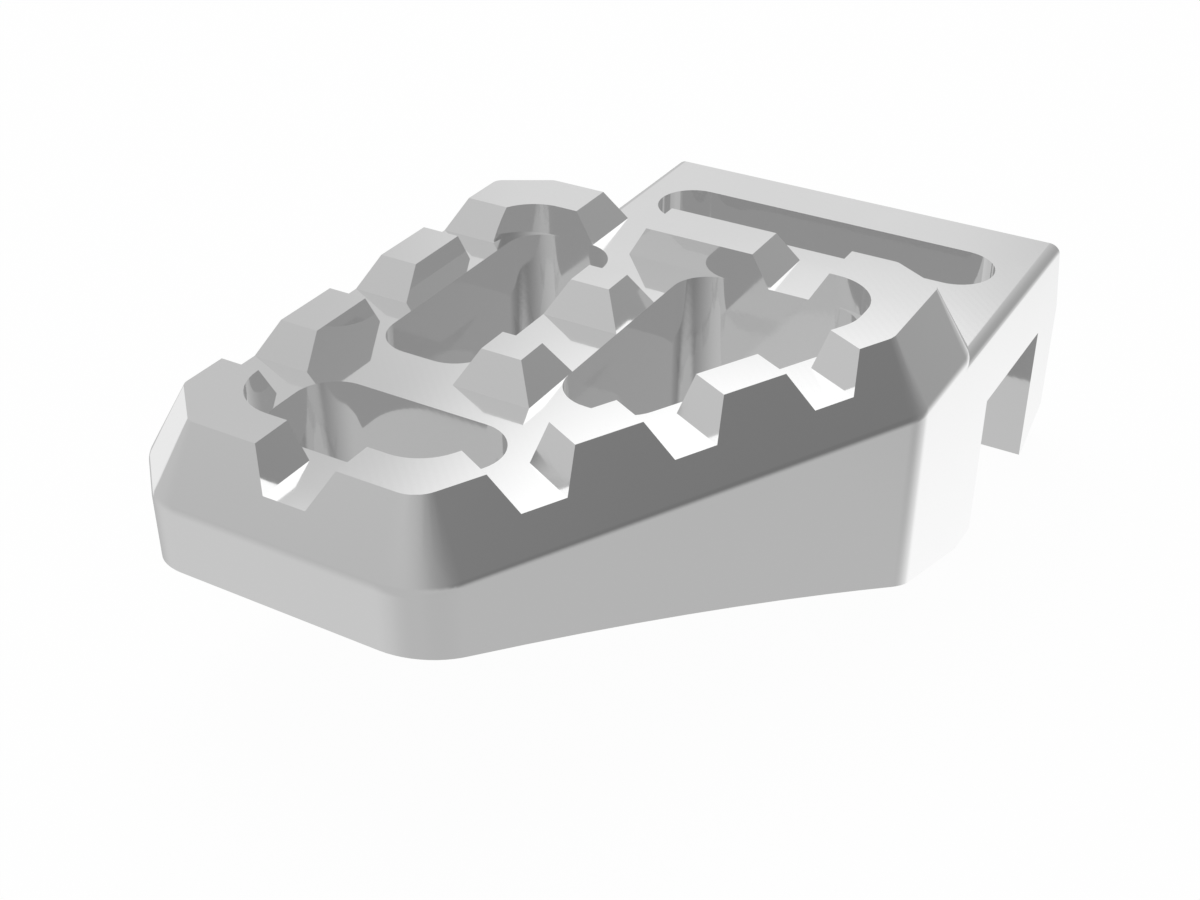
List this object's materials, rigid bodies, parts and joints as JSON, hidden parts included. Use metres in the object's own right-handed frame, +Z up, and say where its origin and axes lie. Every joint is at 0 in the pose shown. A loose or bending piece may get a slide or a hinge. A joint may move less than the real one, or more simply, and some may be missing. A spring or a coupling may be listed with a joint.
{
  "type": "brake pedal extension",
  "caption": "Machined pad that widens a motorcycle brake pedal: toothed rim, blind pockets, and a slotted plate whose channel drops over the pedal.",
  "frame": {"origin": "middle of the screw slot, level with the ceiling of the channel that sits on the brake pedal", "axes": "+X along the slot, towards the oblique side of the pad; +Y from the pad back to the plate and its rear leg; +Z up, out of the tooth tops"},
  "size_m": [0.0488, 0.0755, 0.0268],
  "materials": {
    "machined_aluminium": "fine machined, clear anodised"
  },
  "bodies": {
    "root": {"pedal_extension": "machined_aluminium"}
  },
  "joints": []
}
